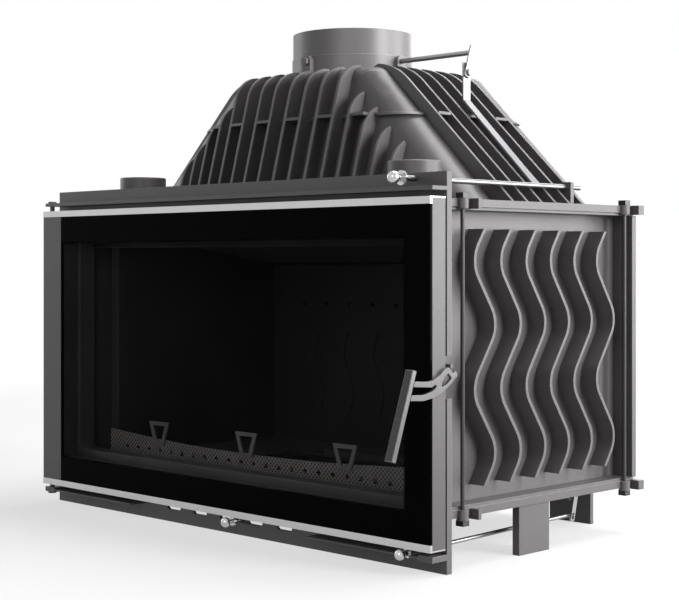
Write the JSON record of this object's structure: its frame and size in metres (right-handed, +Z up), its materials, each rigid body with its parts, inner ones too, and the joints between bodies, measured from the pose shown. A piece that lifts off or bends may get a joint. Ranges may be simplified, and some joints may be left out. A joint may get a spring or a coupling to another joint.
{
  "type": "fireplace insert",
  "caption": "Wide cast-iron fireplace insert with a glass door, a finned smoke hood and a round flue collar.",
  "frame": {"origin": "floor level under the middle of the whole insert, at the bottom centre of its bounding box", "axes": "+X to the viewer's right along the width, -Y out of the glass door, +Z up"},
  "size_m": [0.902, 0.5728, 0.788],
  "materials": {
    "cast_iron": "satin dark grey heat-proof paint on cast iron",
    "hood_iron": "satin dark grey heat-proof paint on cast iron",
    "lining": "matt black cast lining",
    "door_steel": "satin black paint",
    "trim": "brushed",
    "ball_chrome": "polished",
    "rod_steel": "zinc plated",
    "glass": "heat-proof glass with a black printed border",
    "rope": "black fibre rope",
    "inlay": "black",
    "sheet": "satin dark grey paint"
  },
  "bodies": {
    "casing": {"front_frame": "cast_iron", "catch_pin": "rod_steel", "top_ledge": "cast_iron", "bottom_ledges": "cast_iron", "hinge_pins": "rod_steel", "register_cover": "sheet", "base_plate": "cast_iron", "top_plate": "cast_iron", "tie_rods": "cast_iron", "tie_rod_nuts": "cast_iron", "side_panel_right": "cast_iron", "side_panel_left": "cast_iron", "rear_panel": "cast_iron", "side_legs": "cast_iron", "rear_legs": "cast_iron", "hood": "hood_iron", "hood_front_fins": "hood_iron", "hood_side_fins": "hood_iron", "wall_fins_right": "cast_iron", "wall_fins_left": "cast_iron", "flue_collar": "hood_iron", "collar_bolts": "rod_steel", "top_caps": "hood_iron", "damper_rod_bracket": "cast_iron", "air_box": "sheet", "air_shaft_bracket": "cast_iron", "grate": "lining", "ash_box": "sheet", "ash_pan": "sheet", "liner_right": "lining", "liner_left": "lining", "back_liner": "lining", "baffle": "lining", "air_deflector": "lining", "log_guard": "lining", "log_hooks": "lining"},
    "door": {"door_frame": "door_steel", "door_gasket": "rope", "door_glass": "glass", "door_hinge_strip": "door_steel", "door_trim_top": "trim", "door_trim_bottom": "trim"},
    "handle": {"handle_grip": "trim", "handle_inlay": "inlay", "handle_lever": "rod_steel", "handle_pivot": "rod_steel"},
    "damper": {"damper_blade": "cast_iron", "damper_shaft": "rod_steel", "damper_lever": "rod_steel", "damper_bolt": "rod_steel"},
    "damper_pull": {"damper_rod": "rod_steel", "damper_knob": "ball_chrome", "damper_strap": "rod_steel"},
    "air_pull": {"air_rod": "rod_steel", "air_knob": "ball_chrome"},
    "air_flap": {"flap_shaft": "rod_steel", "flap_lever": "rod_steel", "flap_blade": "sheet"},
    "register": {"register_slide": "rod_steel", "register_knob": "ball_chrome"}
  },
  "joints": [
    {"name": "door_hinge", "type": "hinge", "parent": "casing", "child": "door", "pos_m": [-0.4365, -0.19561, 0.267], "axis": [0, 0, -1], "range_deg": [0, 110]},
    {"name": "handle_turn", "type": "hinge", "parent": "door", "child": "handle", "pos_m": [0.4455, -0.19611, 0.2538], "axis": [-1, 0, 0], "range_deg": [-11, 30]},
    {"name": "damper_turn", "type": "hinge", "parent": "casing", "child": "damper", "pos_m": [0, 0.10199, 0.7374], "axis": [-1, 0, 0], "range_deg": [-36, 18]},
    {"name": "damper_pull_slide", "type": "slide", "parent": "casing", "child": "damper_pull", "axis": [0, -1, 0], "range_m": [-0.02, 0.01]},
    {"name": "air_flap_turn", "type": "hinge", "parent": "casing", "child": "air_flap", "pos_m": [0, 0.17689, 0.064], "axis": [-1, 0, 0], "range_deg": [-13.5, 16.2]},
    {"name": "air_pull_slide", "type": "slide", "parent": "casing", "child": "air_pull", "axis": [0, -0.9997, -0.023], "range_m": [-0.00813, 0.00975]},
    {"name": "register_travel", "type": "slide", "parent": "casing", "child": "register", "axis": [1, 0, 0], "range_m": [-0.03225, 0]}
  ],
  "couplings": [
    {"joint": "damper_pull_slide", "follows": "damper_turn", "m_per_rad": 0.0318},
    {"joint": "air_pull_slide", "follows": "air_flap_turn", "m_per_rad": 0.0345}
  ]
}
